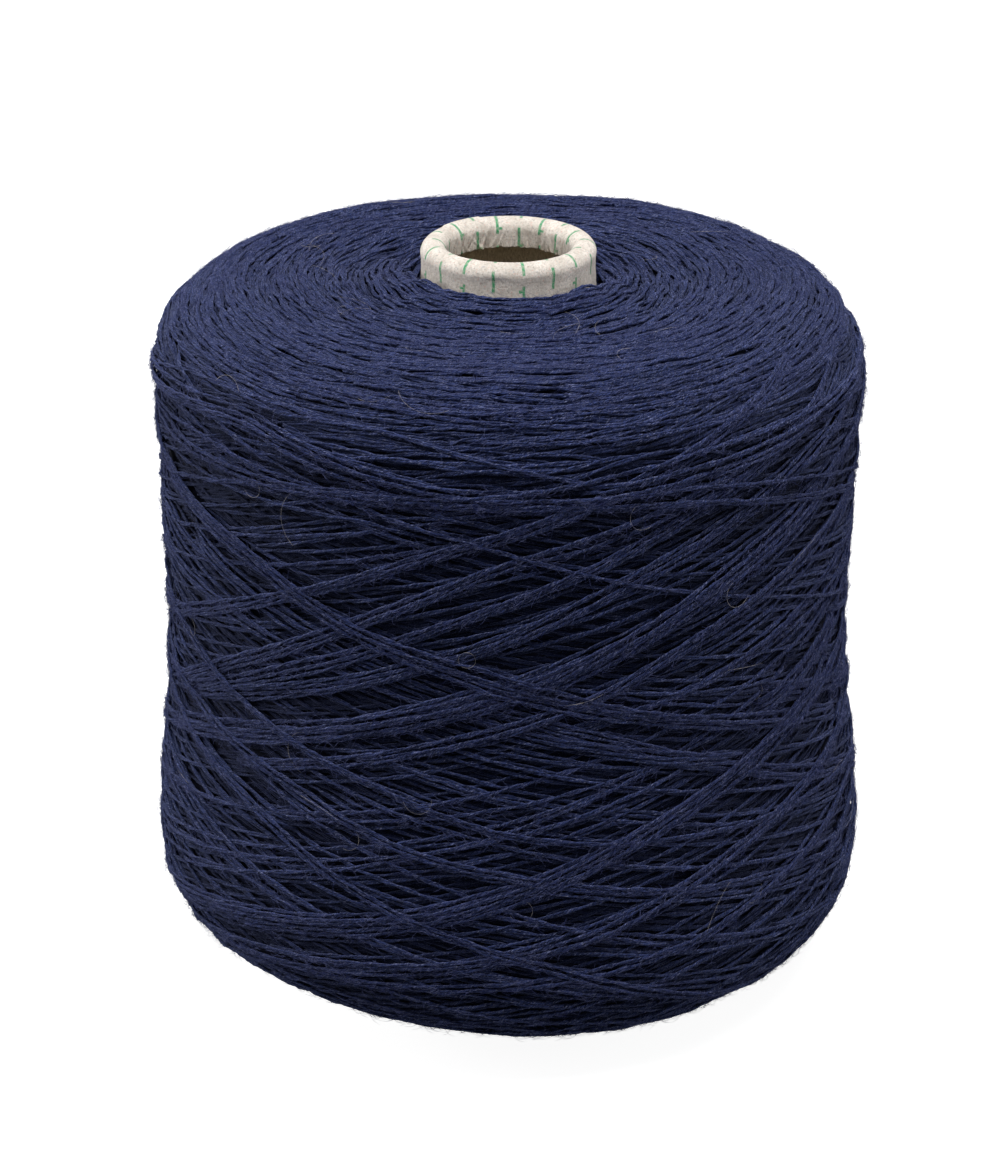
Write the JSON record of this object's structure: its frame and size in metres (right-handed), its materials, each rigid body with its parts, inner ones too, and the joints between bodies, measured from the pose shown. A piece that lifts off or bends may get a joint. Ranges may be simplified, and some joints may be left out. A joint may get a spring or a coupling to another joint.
{
  "type": "yarn cone",
  "caption": "Cross-wound package of navy woolly yarn on a tapered paper cone with a rolled-in nose, an open bore and a bare base rim.",
  "frame": {"origin": "centre of the cone's base rim, on the surface that the cone stands on", "axes": "+Z along the cone's axis from the wide base to the nose"},
  "size_m": [0.1594, 0.1594, 0.17],
  "materials": {
    "board": "matte",
    "cover_paper": "matte",
    "yarn": "matte"
  },
  "bodies": {
    "root": {"cone_board": "board", "cone_cover_ply": "cover_paper", "yarn_package": "yarn"}
  },
  "joints": []
}
